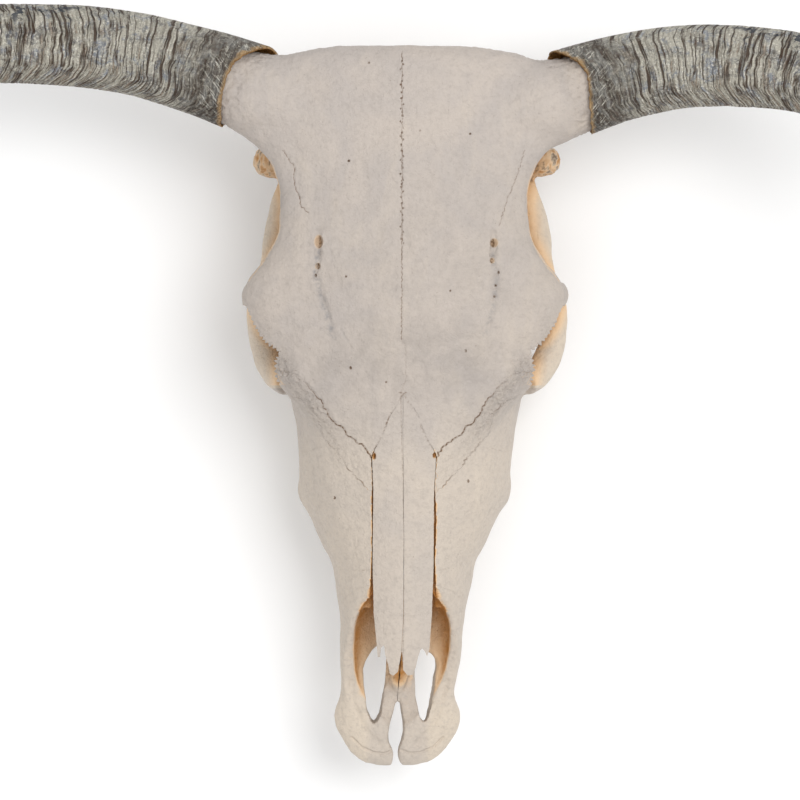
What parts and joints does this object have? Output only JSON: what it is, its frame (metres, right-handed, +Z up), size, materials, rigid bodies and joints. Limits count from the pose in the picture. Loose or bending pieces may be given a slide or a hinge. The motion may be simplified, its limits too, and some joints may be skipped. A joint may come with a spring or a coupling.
{
  "type": "bull skull",
  "caption": "Cattle skull without the lower jaw: broad forehead, round orbits, long nasal bones, cheek teeth, and a curved horn sheath on each horn core.",
  "frame": {"origin": "middle of the footprint on the floor, under the forehead between the horn bases and the muzzle", "axes": "+X towards the animal's left, the direction of the horn span; +Y from the muzzle to the poll; +Z up"},
  "size_m": [0.8084, 0.5448, 0.3566],
  "materials": {
    "bone": "dry bleached bone, pale warm cream, matt with a faint sheen",
    "bone_shaded": "dry bone of a warmer, browner cream, with amber in the hollows, matt",
    "horn": "weathered horn, grey with dark brown growth rings, matt"
  },
  "bodies": {
    "root": {"frontal": "bone", "braincase": "bone_shaded", "nasal_left": "bone", "nasal_right": "bone", "lacrimal_left": "bone", "lacrimal_right": "bone", "zygomatic_left": "bone_shaded", "zygomatic_right": "bone_shaded", "maxilla_left": "bone", "maxilla_right": "bone", "premaxilla_left": "bone", "premaxilla_right": "bone", "palatine": "bone_shaded", "horn_left": "horn", "horn_right": "horn"}
  },
  "joints": []
}
